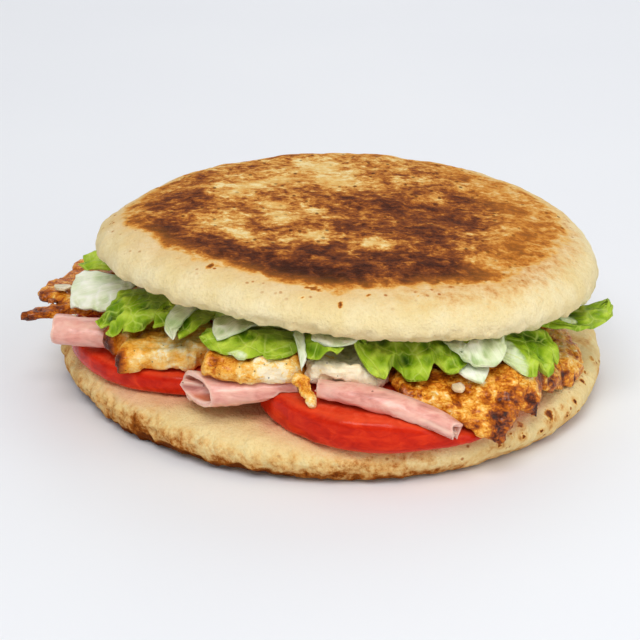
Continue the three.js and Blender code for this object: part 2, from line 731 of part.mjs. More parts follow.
table.stamp(lay("arepa_bottom", bottomHalf(), COLOURS.bread, 0.75));
for (const [name, shape] of Object.entries(TOMATOES)) {
  table.stamp(lay(name, tomatoSlice(shape), COLOURS.tomato, 0.3, SLIVER.fine));
}
for (const [name, shape] of Object.entries(HAM_ROLLS)) {
  table.stamp(lay(name, hamRoll(shape), COLOURS.ham, 0.4));
}
for (const [name, shape] of Object.entries(FILLETS)) {
  table.stamp(lay(name, fillet(shape), name === "chicken_crisp" ? COLOURS.crisp : COLOURS.chicken, 0.5));
}
table.stamp(lay("chicken_shred", leaf(SHRED), COLOURS.chicken, 0.5, SLIVER.fine));
lay("lettuce_bed", lettuceBed(), COLOURS.lettuce, 0.45);
lay("arepa_top", topHalf(), COLOURS.bread, 0.75);
for (const [name, shape] of Object.entries(LETTUCE)) {
  const settle = settled(table.draped({ slope: 2.5 }));
  const colour = name.startsWith("rib") ? COLOURS.rib : COLOURS.lettuce;
  table.stamp(lay(name, leaf({ ...shape, settle }), colour, 0.45, SLIVER.fine));
}

export default arepa;
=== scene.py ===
"""Looks of a filled arepa: griddled corn cake halves round tomato, ham, chicken and lettuce.

Each CAD node is replaced by a finer copy of its own form, with the crust, fibres, folds and crumb that the
solid leaves out, and a procedural material. Blender's lengths are metres. The forms are worked out in
millimetres, which `MM` turns into metres.
"""
import itertools
import math

import bmesh
import bpy
import numpy as np
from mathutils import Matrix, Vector, kdtree


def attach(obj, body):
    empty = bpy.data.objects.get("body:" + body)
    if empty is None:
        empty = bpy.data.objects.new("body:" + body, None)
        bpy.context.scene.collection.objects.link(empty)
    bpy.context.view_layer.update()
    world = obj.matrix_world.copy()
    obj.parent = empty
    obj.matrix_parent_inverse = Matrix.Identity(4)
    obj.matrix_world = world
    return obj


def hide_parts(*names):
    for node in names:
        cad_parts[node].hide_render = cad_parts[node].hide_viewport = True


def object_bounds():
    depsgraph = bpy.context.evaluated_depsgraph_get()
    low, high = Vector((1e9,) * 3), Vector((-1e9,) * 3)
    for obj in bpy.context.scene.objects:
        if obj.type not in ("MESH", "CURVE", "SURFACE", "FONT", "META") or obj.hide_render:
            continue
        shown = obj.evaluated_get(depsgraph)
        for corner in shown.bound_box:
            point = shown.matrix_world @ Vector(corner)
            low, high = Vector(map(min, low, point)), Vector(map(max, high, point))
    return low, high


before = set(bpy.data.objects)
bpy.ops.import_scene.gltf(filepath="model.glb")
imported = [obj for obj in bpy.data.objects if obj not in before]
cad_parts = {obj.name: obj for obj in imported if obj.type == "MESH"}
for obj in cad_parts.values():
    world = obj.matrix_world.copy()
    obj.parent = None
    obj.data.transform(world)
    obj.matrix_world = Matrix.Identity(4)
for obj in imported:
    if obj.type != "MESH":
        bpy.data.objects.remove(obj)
cad_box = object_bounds()

MM = 0.001


# ---------------------------------------------------------------- noise and small maths

# Large primes that scatter the bits of whole numbers.
AXIS_PRIMES = (np.uint32(374761393), np.uint32(668265263), np.uint32(2246822519))
SEED_PRIME = 3266489917
LAST_PRIME = np.uint32(1274126177)


def hashed(cell, seed):
    """A number from 0 to 1 for each row of three whole numbers, the same in every run."""
    x, y, z = (cell[:, k].astype(np.uint32) * prime for k, prime in enumerate(AXIS_PRIMES))
    bits = x + y + z + np.uint32(seed * SEED_PRIME % 2**32)
    bits = (bits ^ (bits >> np.uint32(13))) * LAST_PRIME
    return (bits ^ (bits >> np.uint32(16))).astype(float) / 2**32


def lumps(points, size, seed):
    """
    Smooth noise from -1 to 1 at points in mm, with lumps about `size` mm apart. Another seed gives another
    pattern.
    """
    scaled = points / size
    cell = np.floor(scaled).astype(np.int64)
    t = scaled - cell
    t = t * t * (3 - 2 * t)
    total = np.zeros(len(points))
    for corner in itertools.product((0, 1), repeat=3):
        share = np.prod(np.where(corner, t, 1 - t), axis=1)
        total += share * hashed(cell + np.array(corner), seed)
    return total * 2 - 1


def layered(points, seed, *layers):
    """Smooth noise in several layers, each (mm between lumps, height)."""
    return sum(height * lumps(points, size, seed + k) for k, (size, height) in enumerate(layers))


def ridges(points, size, seed):
    """Noise with sharp crests of 1 about `size` mm apart, and hollows down to -2."""
    return 1 - 3 * np.abs(lumps(points, size, seed))


def smooth(value, low, high):
    """0 below `low`, 1 above `high` and an even curve between them; `low` may be the larger."""
    t = np.clip((value - low) / (high - low), 0, 1)
    return t * t * (3 - 2 * t)


def bell(value, centre, width):
    """1 at `centre`, fading to 0 at about twice `width` from it."""
    return np.exp(-(((value - centre) / width) ** 2))


def blots(points, spots):
    """Sum of soft round spots (x, y, radius, weight) over the plan of points in mm."""
    total = np.zeros(len(points))
    for x, y, radius, weight in spots:
        away = (points[:, 0] - x) ** 2 + (points[:, 1] - y) ** 2
        total += weight * np.exp(-away / radius**2)
    return total


def spotted(points, spots):
    """Uneven round spots (x, y, z, radius) on points in mm: 1 inside them and 0 outside."""
    wobble = np.stack([lumps(points, 1.7, 80 + k) for k in range(3)], 1)
    warped = points + 0.6 * wobble
    total = np.zeros(len(points))
    for x, y, z, radius in spots:
        away = ((warped - (x, y, z)) ** 2).sum(1)
        total = np.maximum(total, smooth(away / radius**2, 1.6, 0.4))
    return total


def linear(code):
    """The linear RGBA of an sRGB colour written as six hex digits."""
    parts = [int(code[k : k + 2], 16) / 255 for k in (0, 2, 4)]
    return [c / 12.92 if c <= 0.04045 else ((c + 0.055) / 1.055) ** 2.4 for c in parts] + [1]


# ---------------------------------------------------------------- meshes from the CAD nodes

# Edges of the solids that turn by more than this stay edges.
SHARP = math.radians(50)
# How close together, in mm, the marks along a sharp edge are.
MARK_GAP = 0.6


def opened(node):
    """A CAD node's mesh for editing, with its split vertices joined."""
    work = bmesh.new()
    work.from_mesh(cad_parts[node].data)
    bmesh.ops.remove_doubles(work, verts=work.verts, dist=0.001 * MM)
    return work


def is_sharp(edge):
    return edge.calc_face_angle(0) > SHARP


def welded(node, crease=0.0):
    """
    A new object with the mesh of a CAD node, its triangles paired where they are nearly flat. Its sharp
    edges get the `crease`, which subdivision keeps.
    """
    work = opened(node)
    bmesh.ops.join_triangles(work, faces=work.faces, angle_face_threshold=0.5, angle_shape_threshold=1.2)
    mark = work.edges.layers.float.new("crease_edge")
    for edge in work.edges:
        edge[mark] = crease if is_sharp(edge) else 0.0
    piece = bpy.data.objects.new(node + "_look", bpy.data.meshes.new(node + "_look"))
    work.to_mesh(piece.data)
    work.free()
    bpy.context.scene.collection.objects.link(piece)
    return piece


def applied(piece):
    """The piece with its modifiers made part of its mesh."""
    graph = bpy.context.evaluated_depsgraph_get()
    mesh = bpy.data.meshes.new_from_object(piece.evaluated_get(graph))
    piece.modifiers.clear()
    piece.data = mesh
    return piece


def evened(piece, voxel, relax):
    """The piece as an even mesh of `voxel` mm, smoothed `relax` times to lose its facets."""
    remesh = piece.modifiers.new("even", "REMESH")
    remesh.mode = "VOXEL"
    remesh.voxel_size = voxel * MM
    soften = piece.modifiers.new("soften", "SMOOTH")
    soften.factor = 0.5
    soften.iterations = relax
    return applied(piece)


def subdivided(piece, levels):
    """The piece finely divided and rounded, for forms too thin to remesh."""
    surface = piece.modifiers.new("round", "SUBSURF")
    surface.levels = levels
    return applied(piece)


def rim_distance(node, points):
    """How far each point, in mm, is from the sharp edges of a CAD node."""
    work = opened(node)
    marks = []
    for edge in work.edges:
        if is_sharp(edge):
            a, b = (vert.co / MM for vert in edge.verts)
            steps = max(1, round((b - a).length / MARK_GAP))
            marks += [a.lerp(b, k / steps) for k in range(steps + 1)]
    work.free()
    tree = kdtree.KDTree(len(marks))
    for k, mark in enumerate(marks):
        tree.insert(mark, k)
    tree.balance()
    return np.array([tree.find(point)[2] for point in points])


def hem_of(node, points, reach):
    """1 on the sharp edges of a CAD node, and 0 from `reach` mm away."""
    return smooth(rim_distance(node, points), reach, 0.1)


def points_of(piece):
    """The vertices in mm and their normals."""
    count = len(piece.data.vertices)
    points, normals = np.zeros(count * 3), np.zeros(count * 3)
    piece.data.vertices.foreach_get("co", points)
    piece.data.vertices.foreach_get("normal", normals)
    return points.reshape(-1, 3) / MM, normals.reshape(-1, 3)


def move(piece, points):
    """Puts the vertices at points in mm, kept inside the CAD model's box, and returns where they are."""
    low, high = (np.array(corner) / MM for corner in cad_box)
    placed = np.clip(points, low, high)
    piece.data.vertices.foreach_set("co", (placed * MM).ravel())
    piece.data.update()
    return placed


def emboss(piece, points, normals, relief):
    """Moves the vertices out along their normals by the relief in mm, and returns where they are."""
    return move(piece, points + normals * relief[:, None])


def paint(piece, **fields):
    """Stores one number for each vertex under each name, for the materials to read."""
    for name, values in fields.items():
        attribute = piece.data.attributes.new(name, "FLOAT", "POINT")
        attribute.data.foreach_set("value", np.asarray(values, np.float32))


def dress(piece, node, material):
    """Gives the piece its material and lets it stand for its CAD node."""
    piece.data.materials.clear()
    piece.data.materials.append(material)
    piece.data.polygons.foreach_set("material_index", [0] * len(piece.data.polygons))
    piece.data.polygons.foreach_set("use_smooth", [True] * len(piece.data.polygons))
    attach(piece, "root")
    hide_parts(node)


# ---------------------------------------------------------------- materials


class Look:
    """A material and short calls that add nodes to it. Sockets and plain numbers both serve as inputs."""

    def __init__(self, name, **finish):
        """`finish` gives values of the shader's sockets, whose names have _ for each space."""
        self.material = bpy.data.materials.new(name)
        self.material.use_nodes = True
        self.tree = self.material.node_tree
        self.shader = self.tree.nodes["Principled BSDF"]
        for socket, value in finish.items():
            self.shader.inputs[socket.replace("_", " ")].default_value = value
        self.place = self.tree.nodes.new("ShaderNodeTexCoord").outputs["Object"]

    def feed(self, socket, value):
        """Links a socket, or sets a plain value."""
        if isinstance(value, bpy.types.NodeSocket):
            self.tree.links.new(value, socket)
        else:
            socket.default_value = value

    def add(self, kind, inputs, **settings):
        """A new node with its settings and inputs."""
        node = self.tree.nodes.new("ShaderNode" + kind)
        for name, value in settings.items():
            setattr(node, name, value)
        for key, value in inputs.items():
            self.feed(node.inputs[key], value)
        return node

    def field(self, name):
        """The number that `paint` stored under this name."""
        return self.add("Attribute", {}, attribute_name=name).outputs["Fac"]

    def on_leaf(self, third):
        """The place on a leaf, across it and along it in mm, and a third field that shifts the pattern."""
        parts = {"X": self.field("across"), "Y": self.field("along"), "Z": self.field(third)}
        return self.add("CombineXYZ", parts).outputs[0]

    def stretched(self, *factors, at=None):
        """The place, scaled by a factor along each axis."""
        return self.add("VectorMath", {0: at or self.place, 1: factors}, operation="MULTIPLY").outputs[0]

    def noise(self, size, detail=4, rough=0.55, twist=0.0, at=None):
        """Noise from 0 to 1 with features `size` mm apart."""
        inputs = {"Vector": at or self.place, "Scale": 1 / MM / size, "Detail": detail}
        inputs.update({"Roughness": rough, "Distortion": twist})
        return self.add("TexNoise", inputs).outputs["Fac"]

    def cells(self, size, at=None):
        """Distance to the nearest of scattered points `size` mm apart, as a share of that size."""
        inputs = {"Vector": at or self.place, "Scale": 1 / MM / size}
        return self.add("TexVoronoi", inputs).outputs["Distance"]

    def maths(self, operation, a, b, c=0.0):
        return self.add("Math", {0: a, 1: b, 2: c}, operation=operation).outputs[0]

    def times(self, a, b):
        return self.maths("MULTIPLY", a, b)

    def plus(self, base, value, amount):
        """base + amount * (value - 0.5)"""
        return self.maths("MULTIPLY_ADD", self.maths("SUBTRACT", value, 0.5), amount, base)

    def spread(self, value, low, high, to_low=0.0, to_high=1.0):
        """Maps low..high to to_low..to_high, clamped."""
        inputs = {"Value": value, "From Min": low, "From Max": high, "To Min": to_low, "To Max": to_high}
        return self.add("MapRange", inputs, clamp=True).outputs["Result"]

    def ramp(self, value, *stops):
        """A colour from two or more stops of (place, hex colour), in rising order."""
        node = self.add("ValToRGB", {"Fac": value})
        band = node.color_ramp.elements
        band[0].position = stops[0][0]
        band[1].position = stops[-1][0]
        for place, _ in stops[1:-1]:
            band.new(place)
        for stop, (_, code) in zip(band, stops):
            stop.color = linear(code)
        return node.outputs["Color"]

    def mixed(self, share, a, b):
        """Colour `a`, with a share of colour `b`."""
        node = self.add("Mix", {}, data_type="RGBA")
        a, b = (linear(c) if isinstance(c, str) else c for c in (a, b))
        # A Mix node has its colours on inputs 6 and 7 and on output 2.
        for socket, value in ((node.inputs[0], share), (node.inputs[6], a), (node.inputs[7], b)):
            self.feed(socket, value)
        return node.outputs[2]

    def tinted(self, colour, share, strength, tint):
        """The colour, drawn towards the tint by share * strength."""
        return self.mixed(self.times(share, strength), colour, tint)

    def done(self, colour, roughness, height=None, depth=0.1):
        """Connects the colour, the roughness and a bump `depth` mm high, and returns the material."""
        self.feed(self.shader.inputs["Base Color"], colour)
        self.feed(self.shader.inputs["Roughness"], roughness)
        if height is not None:
            bump = self.add("Bump", {"Height": height, "Distance": depth * MM, "Strength": 1.0})
            self.feed(self.shader.inputs["Normal"], bump.outputs[0])
        return self.material


def bread_look(name, sides, stained):
    """
    Corn cake: a griddled crust where `sear` is high. Elsewhere it has the three colours of `sides`, browned
    by `toast` and dotted by `specks`, and it is `stained` where `stain` is high.
    """
    look = Look(name, Subsurface_Weight=0.05, Subsurface_Scale=0.003, Subsurface_Radius=(1.0, 0.7, 0.35),
                Specular_IOR_Level=0.03)
    sear, toast = look.field("sear"), look.field("toast")
    blotch = look.noise(5.5, 6, 0.6, 0.4, at=look.stretched(1, 0.75, 1))
    streak = look.noise(2.0, 6, 0.68, 0.5, at=look.stretched(0.75, 0.9, 1))
    grain = look.noise(0.8, 3, 0.6)
    inside = look.spread(sear, 0.03, 0.2)
    burn = sear
    for noise, strength in ((blotch, 1.2), (streak, 1.4), (grain, 0.4)):
        burn = look.plus(burn, noise, look.times(inside, strength))
    crust = look.ramp(
        burn,
        (0.0, "f0d99e"), (0.13, "e6bb6e"), (0.26, "d69749"), (0.38, "bd7632"),
        (0.5, "965324"), (0.64, "743c1e"), (0.8, "562a17"), (1.0, "3a1a0e"),
    )
    char = look.spread(look.cells(3.1, at=look.stretched(1, 0.6, 1)), 0.2, 0.12)
    crust = look.tinted(crust, look.times(char, 0.75), inside, "4a2212")
    side = look.mixed(look.spread(look.noise(9, 3), 0.35, 0.65), sides[0], sides[1])
    side = look.mixed(look.spread(grain, 0.45, 0.75, 0.0, 0.4), side, sides[2])
    mottling = look.times(look.spread(toast, 0.02, 0.3), 1.8)
    golden = look.plus(toast, look.noise(2.6, 6, 0.7), mottling)
    warm = look.ramp(golden, (0.15, "e6b860"), (0.5, "cf8c36"), (0.74, "a65e1e"), (1.0, "6e340e"))
    side = look.mixed(look.spread(golden, 0.1, 0.75), side, warm)
    dots = look.spread(look.cells(3.0), 0.19, 0.1)
    side = look.tinted(side, dots, look.field("specks"), "a85c1a")
    colour = look.mixed(look.spread(sear, 0.02, 0.1), side, crust)
    colour = look.tinted(colour, look.field("stain"), 0.75, stained)
    height = look.plus(look.plus(grain, look.noise(0.45, 2), 0.6), look.noise(2.2, 5), 1.3)
    return look.done(colour, look.spread(burn, 0.2, 0.9, 0.8, 0.6), height, 0.4)


def tomato_look():
    """Tomato: skin, and flesh where `face` is high, with a lighter `core` and `hem`."""
    look = Look("tomato", Coat_Weight=0.16, Coat_Roughness=0.1, Subsurface_Weight=0.08,
                Subsurface_Scale=0.002, Subsurface_Radius=(1.0, 0.2, 0.05), Specular_IOR_Level=0.06)
    face = look.field("face")
    flow = look.noise(5, 4, 0.6, 0.8, at=look.stretched(1, 1, 2.2))
    skin = look.ramp(flow, (0.3, "b01603"), (0.5, "c92508"), (0.7, "dc3812"))
    pulp = look.noise(3.2, 5, 0.65, 0.5)
    flesh = look.ramp(pulp, (0.3, "cc3014"), (0.5, "dc4424"), (0.7, "ea6040"))
    colour = look.mixed(face, skin, flesh)
    colour = look.tinted(colour, look.field("core"), 0.6, "e07a3c")
    colour = look.tinted(colour, look.field("hem"), 0.25, "ec6238")
    height = look.plus(look.noise(1.4, 3), look.noise(6, 3), 1.4)
    return look.done(colour, look.spread(face, 0, 1, 0.22, 0.36), height, 0.16)


def ham_look():
    """Moist sliced ham: pink fibre with pale patches and peppercorns, and painted shade, darker and more
    orange, on the insides of its turns.
    """
    look = Look("ham", Coat_Weight=0.35, Coat_Roughness=0.16, Subsurface_Weight=0.15,
                Subsurface_Scale=0.002, Subsurface_Radius=(1.0, 0.4, 0.3), Specular_IOR_Level=0.3)
    fibre = look.noise(2.6, 5, 0.6, 0.5, at=look.stretched(0.35, 1, 1))
    colour = look.ramp(fibre, (0.25, "b0685a"), (0.5, "dd9788"), (0.75, "f3c0ac"))
    colour = look.tinted(colour, look.spread(look.noise(8, 3), 0.42, 0.68), 0.6, "f3c8b6")
    # Painted shade on the insides of the turns.
    colour = look.tinted(colour, look.field("inner"), 0.8, "c4602a")
    colour = look.tinted(colour, look.field("hem"), 0.6, "f8d6c0")
    colour = look.tinted(colour, look.spread(look.cells(4.2), 0.08, 0.04), 0.8, "6f3524")
    height = look.plus(fibre, look.noise(0.8, 3), 0.6)
    return look.done(colour, look.spread(fibre, 0.3, 0.7, 0.42, 0.28), height, 0.18)


def chicken_look():
    """Grilled chicken: pale meat where `sear` is low, then amber glaze, brown and char, and painted shade
    and highlight of folds.
    """
    look = Look("chicken", Coat_Weight=0.3, Coat_Roughness=0.14, Subsurface_Weight=0.06,
                Subsurface_Scale=0.002, Subsurface_Radius=(1.0, 0.6, 0.3), Specular_IOR_Level=0.08)
    patches = look.noise(3.4, 4, 0.6, 0.6)
    streak = look.noise(1.4, 5, 0.7, 0.7, at=look.stretched(0.7, 0.9, 1.3))
    fine = look.noise(0.6, 3, 0.6)
    mottling = look.plus(look.plus(look.times(patches, 0.85), streak, 1.1), fine, 0.4)
    # The 0.075 brings the mean of the three layers back to a half.
    burn = look.plus(look.field("sear"), look.maths("ADD", mottling, 0.075), look.field("contrast"))
    crust = look.ramp(
        burn,
        (0.0, "fdecbe"), (0.11, "fbd88a"), (0.27, "f4af40"), (0.42, "cd7210"),
        (0.56, "9c4a0a"), (0.7, "66290a"), (0.84, "3a1709"), (1.0, "1e0c06"),
    )
    fibre = look.noise(1.2, 4, 0.6, 0.3, at=look.stretched(0.3, 0.5, 1.3))
    meat = look.ramp(fibre, (0.3, "f4deb2"), (0.7, "fff5dc"))
    colour = look.mixed(look.spread(burn, 0.0, 0.13), meat, crust)
    colour = look.tinted(colour, look.spread(look.cells(2.6), 0.11, 0.05), 0.8, "2a1209")
    height = look.plus(look.plus(streak, fine, 0.6), fibre, 0.5)
    return look.done(colour, look.spread(burn, 0.1, 0.8, 0.42, 0.26), height, 0.4)


def leaf_look():
    """Lettuce leaf, veined, with painted highlight on the crests of its folds and painted shade in their
    hollows; `base` is 1 at the held end.
    """
    look = Look("lettuce", Coat_Weight=0.08, Coat_Roughness=0.16, Subsurface_Weight=0.1,
                Subsurface_Scale=0.0015, Subsurface_Radius=(0.5, 1.0, 0.15), Specular_IOR_Level=0.06)
    flat = look.on_leaf("pale")
    drift = look.add("TexNoise", {"Vector": flat, "Scale": 0.35}).outputs["Color"]
    bent = look.add("VectorMath", {0: flat, 1: drift}, operation="ADD").outputs[0]
    veins, twigs = (
        look.add("TexVoronoi", {"Vector": bent, "Scale": scale}, feature="DISTANCE_TO_EDGE").outputs[0]
        for scale in (0.17, 0.45)
    )
    lines = look.maths("MAXIMUM", look.spread(veins, 0.04, 0.01), look.spread(twigs, 0.04, 0.015, 0, 0.3))
    # The folds set painted shade in their hollows and painted highlight on their crests, varied by noise.
    tone = look.plus(look.field("fold"), look.noise(6, 4, 0.6), 0.8)
    colour = look.ramp(tone, (0.1, "2c4c02"), (0.33, "5a800a"), (0.6, "88a81c"), (0.9, "bcd04a"))
    colour = look.mixed(look.spread(look.field("base"), 0.4, 1.0, 0, 0.6), colour, "c6d878")
    pale = look.field("pale")
    pale = look.plus(pale, look.noise(4, 4, 0.65), look.times(pale, 2.0))
    colour = look.mixed(look.spread(pale, 0.3, 0.9), colour, "dde8c0")
    colour = look.tinted(colour, lines, 0.5, "c4d468")
    colour = look.tinted(colour, look.field("hem"), 0.35, "b0c83c")
    height = look.plus(look.spread(veins, 0.0, 0.25), look.noise(1.6, 4), 0.7)
    height = look.plus(height, look.spread(twigs, 0, 0.3), 0.4)
    return look.done(colour, look.spread(look.noise(4, 2), 0.3, 0.7, 0.28, 0.48), height, 0.35)


def rib_look():
    """Pale wet lettuce rib, finely lined from end to end; `cream` makes it yellower."""
    look = Look("lettuce_rib", Coat_Weight=0.3, Coat_Roughness=0.12, Subsurface_Weight=0.3,
                Subsurface_Scale=0.002, Subsurface_Radius=(0.8, 1.0, 0.7), Specular_IOR_Level=0.25)
    lined = look.stretched(1.6, 0.12, 1, at=look.on_leaf("cream"))
    fine = {"Vector": lined, "Scale": 0.9, "Detail": 4, "Distortion": 0.4}
    lines = look.add("TexNoise", fine).outputs["Fac"]
    # The folds set painted shade in their hollows and painted highlight on their crests, with fine lines
    # and noise.
    tone = look.plus(look.plus(look.field("fold"), lines, 0.8), look.noise(5, 3), 0.6)
    colour = look.ramp(tone, (0.1, "a9bf84"), (0.35, "cfdcb0"), (0.6, "e3ebcd"), (0.9, "f7fae8"))
    colour = look.mixed(look.spread(look.field("hem"), 0.2, 1.0, 0, 0.35), colour, "ccdba4")
    colour = look.mixed(look.field("cream"), colour, "e8c8a0")
    height = look.plus(lines, look.noise(1.2, 3), 0.5)
    return look.done(colour, look.spread(lines, 0.3, 0.7, 0.35, 0.2), height, 0.35)


# ---------------------------------------------------------------- the two halves of the corn cake

# The halves' meshes: the size of a face in mm, and the rounds of smoothing.
BREAD_VOXEL = 0.74
BREAD_RELAX = 21

# The upper half, in mm: the middle and the radius of its griddled disc, and the middle of its cut rim.
DISC_X, DISC_Y, DISC_RADIUS = 3.5, 4, 59
RIM_X, RIM_Y = 4, 2.4

# Browned and bare spots of the griddled disc: (x, y, radius, weight) in mm.
TOP_SPOTS = [
    (20, -3, 19, 0.2), (31, -2, 7, 0.16), (31, 8, 7, 0.15), (25, -17, 8, 0.22), (3, -12, 6, 0.22),
    (1, 8, 6, 0.22), (15, 8, 9, 0.12), (8, 16, 8, 0.1), (34, 20, 6, 0.24), (20, 20, 7, 0.12),
    (41, 14, 6, 0.16), (-36, 5, 6, 0.34), (-40, 14, 6, 0.2), (-46, 6, 7, 0.2), (-18, 12, 4, 0.28),
    (-17, -17, 6, 0.28), (-9, 20, 4.5, 0.2), (-46, -12, 7, 0.24), (-42, -19, 6, 0.32), (-34, -28, 7, 0.28),
    (-25, -36, 7, 0.3), (-15, -43, 6, 0.36), (-6, -46, 6, 0.4), (2, -47, 6, 0.42), (12, -42, 7, 0.25),
    (22, -44, 6, 0.28), (34, -42, 4.5, 0.36), (10, -35, 6, 0.2), (-6, -33, 7, 0.25), (24, -33, 7, 0.22),
    (42, -20, 6, 0.15), (12, 38, 7, 0.15), (-20, 40, 8, 0.14), (30, 40, 8, 0.1), (-34, 32, 7, 0.12),
    (-42, 27, 6, 0.14), (50, -10, 4, 0.12), (48, 12, 5, 0.15), (-15, 4, 3.4, -0.4), (-14.5, -4, 3, -0.36),
    (-14, -9, 3, -0.3), (-23, -20, 5, -0.35), (-5, -20, 4.5, -0.34), (8.5, -24, 3.4, -0.34),
    (14, -24.6, 3.2, -0.34), (11, -39, 2.5, -0.35), (38, -32, 4, -0.35), (27, 17, 3.5, -0.36),
    (0, 27, 8, -0.22), (-3, 43, 7, -0.22), (-14, 28, 6, -0.2), (-26, 13, 6, -0.22), (-22, 22, 6, -0.2),
    (-30, -11, 5, -0.22), (-12, -24, 4, -0.2), (45, -8, 4, -0.12), (44, 28, 6, -0.15), (-36, 42, 6, -0.12),
    (18, 32, 5, -0.12), (9, 2, 3, -0.12), (-6, -2, 3, -0.15), (-4, 3, 3, -0.12),
]

# Small scorch marks on the pale sides of the halves: (x, y, z, radius) in mm.
TOP_MARKS = [
    (1, -59, 43.4, 0.7), (-8, -57, 44.4, 0.8), (-30, -43, 47.4, 0.9), (-28.6, -43.8, 47.2, 0.7),
    (-5, -54, 45.9, 0.9), (-7, -54.2, 45.8, 0.6), (-3.4, -54.6, 45.6, 0.6), (8, -56, 44.9, 0.4),
    (20, -55, 45, 0.6), (-41, -31, 45, 0.5), (26, -53, 44.8, 0.4), (33, -50, 44.5, 0.5),
]
BOTTOM_MARKS = [
    (53, -43, 8.2, 1.4), (48, -46, 9.6, 0.8), (45, -50, 8.7, 0.9), (46, -52, 6.4, 0.7), (61, -33, 7.7, 0.8),
    (67, -11, 9.8, 0.9), (57, -38, 9, 0.6), (40, -57, 6, 0.6), (63, -24, 9, 0.7), (51, -47, 5.5, 0.5),
    (38, -60, 5, 0.5), (58, -37, 6, 0.5), (52, -46, 9.2, 0.6), (43, -54, 8, 0.5), (64, -19, 9.4, 0.6),
    (59, -36, 9.2, 0.5), (50, -50, 7, 0.5), (66, -27, 6, 0.5),
]
# The brown glow round a scorch mark of the lower half, as a multiple of its radius.
GLOW = 2.4

# The lower half is browner and more ragged on one side: where, in degrees from +X round its middle, and
# how far that spreads. Its middle is this far behind the origin, in mm.
RAGGED_TURN = -136
RAGGED_SPREAD = 54
BOTTOM_Y = 4

# Tomato slices, round in plan: (x, y, radius) in mm.
TOMATOES = {
    "tomato_front": (14.3, -36.4, 34.5),
    "tomato_left": (-36.4, -7.5, 33.2),
    "tomato_back": (14.5, 33.5, 31.2),
}
# Where juice stains the lower half round a slice's middle: the radius of the ring in mm.
JUICE_RINGS = {"tomato_front": 34, "tomato_left": 33}


def top_half():
    """The upper half: the griddled disc and its golden hem, the pale side and the rough cut rim."""
    piece = evened(welded("arepa_top"), BREAD_VOXEL, BREAD_RELAX)
    points, normals = points_of(piece)
    x, y, z = points.T
    up = normals[:, 2]
    high = smooth(z, 36, 44) * smooth(up, 0.2, 0.9)
    away = np.hypot(x - DISC_X, y - DISC_Y) + layered(points, 1, (11, 1.6), (4, 1.3), (1.8, 1.0))
    disc = smooth(away, DISC_RADIUS, DISC_RADIUS - 5) * high
    # The disc is browner towards the front than towards the back.
    base = 0.34 + 0.12 * smooth(y, -14, -34) - 0.05 * smooth(y, 16, 30)
    sear = disc * np.clip(base + blots(points, TOP_SPOTS), 0.1, 0.9)
    # Round the disc: a halo past its edge, a fringe of specks on it, and gold inside it and at the right.
    halo = smooth(away, DISC_RADIUS + 8, DISC_RADIUS - 3) * high
    fringe = high * bell(away, DISC_RADIUS, 3.5)
    gilt = high * np.maximum(smooth(x + 0.3 * np.abs(y), 38, 52), 0.9 * bell(away, DISC_RADIUS - 2, 4))
    # The rough rim of the cut face, and the right side, which is browner higher up.
    rim = smooth(up, 0.1, -0.5) * smooth(np.hypot(x - RIM_X, y - RIM_Y), 56, 62)
    right = smooth(x, -4, 44) * smooth(z, 34, 46)
    relief = 0.3 + layered(points, 2, (11, 0.35), (3.4, 0.18), (1.5, 0.13)) - disc * 0.2
    relief += rim * layered(points, 7, (2.6, 0.6), (1.3, 0.45))
    placed = emboss(piece, points, normals, relief)
    paint(
        piece,
        sear=np.maximum(sear, 0.75 * spotted(placed, TOP_MARKS)),
        toast=0.16 * halo + 0.05 * rim + 0.34 * right,
        stain=halo * np.maximum(0.5 * gilt, 0.4 * (1 - disc)),
        specks=fringe,
    )
    look = bread_look("bread_top", ("efe0b4", "e8d39c", "d9bf84"), "ce8026")
    dress(piece, "arepa_top", look)


